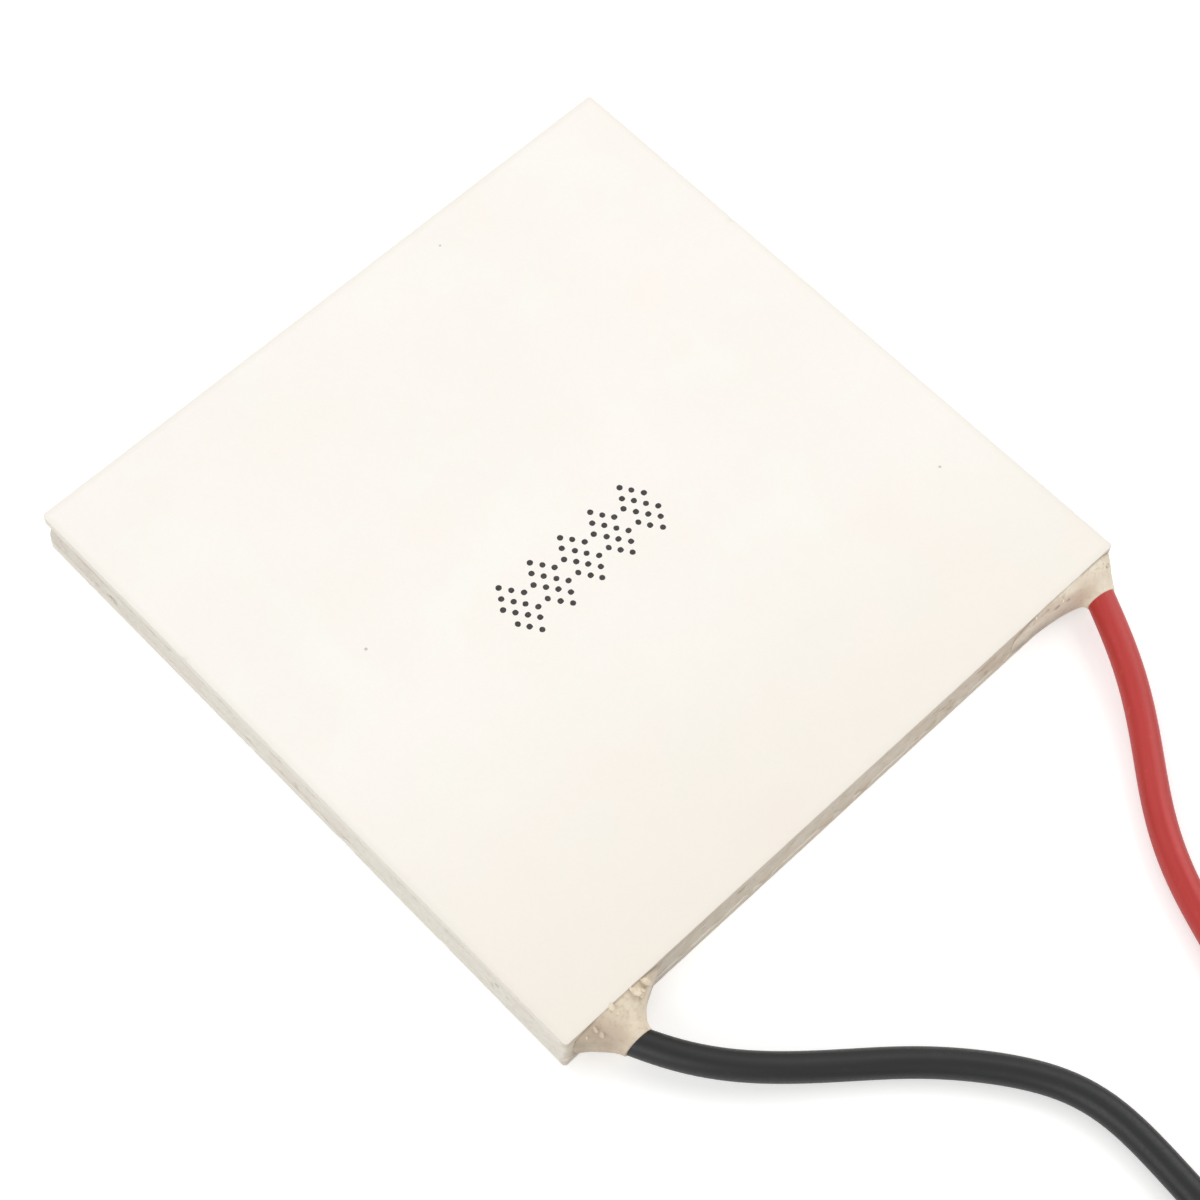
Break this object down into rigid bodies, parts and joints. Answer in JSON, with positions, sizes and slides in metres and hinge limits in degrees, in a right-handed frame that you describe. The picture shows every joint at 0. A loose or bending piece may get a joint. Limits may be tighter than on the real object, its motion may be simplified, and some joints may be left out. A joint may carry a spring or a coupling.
{
  "type": "thermoelectric cooling module",
  "caption": "Square thermoelectric cooling module: alumina plates over bismuth telluride legs, silicone edge seal, red and black leads.",
  "frame": {"origin": "centre of the hot plate's outer face", "axes": "+Z from the hot plate to the cold plate; the leads leave the side at -Y, black near -X and red near +X"},
  "size_m": [0.055, 0.0856, 0.0033],
  "materials": {
    "alumina": "ground, matte",
    "silicone": "satin, uneven bead",
    "copper": "bonded copper tab, matte",
    "p_type": "sawn bismuth antimony telluride",
    "n_type": "sawn bismuth selenium telluride",
    "solder": "dull solder",
    "tinned_copper": "tinned strands",
    "black_pvc": "satin PVC",
    "red_pvc": "satin PVC",
    "tie": "coated twist tie"
  },
  "bodies": {
    "root": {"hot_plate": "alumina", "cold_plate": "alumina", "sealant": "silicone", "hot_tabs_1": "copper", "hot_tabs_2": "copper", "hot_tabs_3": "copper", "hot_tabs_4": "copper", "hot_tabs_5": "copper", "hot_tabs_6": "copper", "hot_tabs_7": "copper", "hot_tabs_8": "copper", "cold_tabs_1": "copper", "cold_tabs_2": "copper", "cold_tabs_3": "copper", "cold_tabs_4": "copper", "cold_tabs_5": "copper", "cold_tabs_6": "copper", "cold_tabs_7": "copper", "cold_turns_lead_side": "copper", "cold_turns_far_side": "copper", "p_legs_1": "p_type", "p_legs_2": "p_type", "p_legs_3": "p_type", "p_legs_4": "p_type", "p_legs_5": "p_type", "p_legs_6": "p_type", "p_legs_7": "p_type", "p_legs_8": "p_type", "n_legs_1": "n_type", "n_legs_2": "n_type", "n_legs_3": "n_type", "n_legs_4": "n_type", "n_legs_5": "n_type", "n_legs_6": "n_type", "n_legs_7": "n_type", "n_legs_8": "n_type", "hot_solder": "solder", "cold_solder": "solder", "black_solder_joint": "solder", "red_solder_joint": "solder", "black_lead_end": "tinned_copper", "red_lead_end": "tinned_copper", "black_lead_tip": "tinned_copper", "red_lead_tip": "tinned_copper", "black_lead": "black_pvc", "black_lead_coil": "black_pvc", "red_lead": "red_pvc", "red_lead_coil": "red_pvc", "black_coil_tie": "tie", "red_coil_tie": "tie"}
  },
  "joints": []
}
